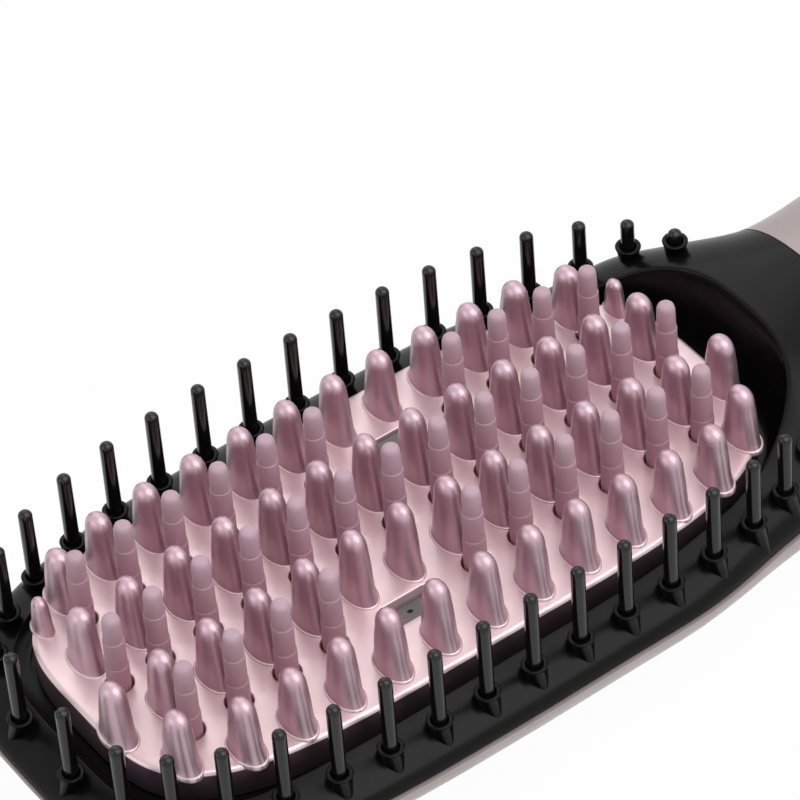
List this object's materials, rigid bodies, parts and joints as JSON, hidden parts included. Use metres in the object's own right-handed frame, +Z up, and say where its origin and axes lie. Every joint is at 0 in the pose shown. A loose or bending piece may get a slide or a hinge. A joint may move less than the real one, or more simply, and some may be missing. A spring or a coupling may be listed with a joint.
{
  "type": "hair straightening brush",
  "caption": "Heated hair straightening brush: rose metal tooth plate with matte bristles in a black frame of guard pins, on a pearl handle with a display and buttons.",
  "frame": {"origin": "under the middle of the head, on the flat of the back that the brush lies on", "axes": "+X along the brush from the head to the handle, +Y across it, +Z up out of the teeth"},
  "size_m": [0.2943, 0.07, 0.0394],
  "materials": {
    "rose_metal": "satin ceramic coating on cast aluminium",
    "matte_rose": "matte, slightly frosted",
    "gloss_black": "semi-gloss moulded",
    "pearl": "pearl lacquer",
    "dark_grey": "moulded, satin",
    "button_black": "fine satin texture",
    "gland_black": "soft black",
    "steel": "plated",
    "aluminium": "plain drawn",
    "mica": "pressed mica board",
    "board": "solder mask",
    "smoked": "polished smoked window",
    "lead_sleeve": "silicone sleeve"
  },
  "bodies": {
    "brush": {"heating_plate": "rose_metal", "bristle_strip_far": "matte_rose", "bristle_strip_middle": "matte_rose", "bristle_strip_near": "matte_rose", "outer_pin_ring": "gloss_black", "front_frame": "gloss_black", "handle_front": "pearl", "back_shell": "pearl", "ion_outlet_far": "dark_grey", "ion_outlet_near": "dark_grey", "ion_emitter_far": "steel", "ion_emitter_near": "steel", "heater_far": "aluminium", "heater_near": "aluminium", "heater_lead_far": "lead_sleeve", "heater_lead_near": "lead_sleeve", "heater_clamp": "mica", "clamp_screw_1": "steel", "clamp_screw_2": "steel", "clamp_screw_3": "steel", "clamp_screw_4": "steel", "thermal_fuse": "aluminium", "thermistor": "steel", "ion_module": "dark_grey", "display_window": "smoked", "display_module": "dark_grey", "control_board": "board", "power_switch": "dark_grey", "plus_switch": "dark_grey", "minus_switch": "dark_grey", "board_screw_1": "steel", "board_screw_2": "steel", "case_screw_1": "steel", "case_screw_2": "steel", "case_screw_3": "steel", "case_screw_4": "steel", "end_cap": "gloss_black"},
    "power_key": {"power_button": "button_black"},
    "plus_key": {"plus_button": "button_black"},
    "minus_key": {"minus_button": "button_black"},
    "gland": {"cord_gland": "gland_black"}
  },
  "joints": [
    {"name": "power_press", "type": "slide", "parent": "brush", "child": "power_key", "axis": [0, 0, 1], "range_m": [-0.0005, 0], "stiffness_N_per_m": 400},
    {"name": "plus_press", "type": "slide", "parent": "brush", "child": "plus_key", "axis": [0, 0, 1], "range_m": [-0.0005, 0], "stiffness_N_per_m": 400},
    {"name": "minus_press", "type": "slide", "parent": "brush", "child": "minus_key", "axis": [0, 0, 1], "range_m": [-0.0005, 0], "stiffness_N_per_m": 400},
    {"name": "gland_swivel", "type": "hinge", "parent": "brush", "child": "gland", "pos_m": [0.219, 0, 0.0142], "axis": [1, 0, 0], "continuous": true}
  ]
}
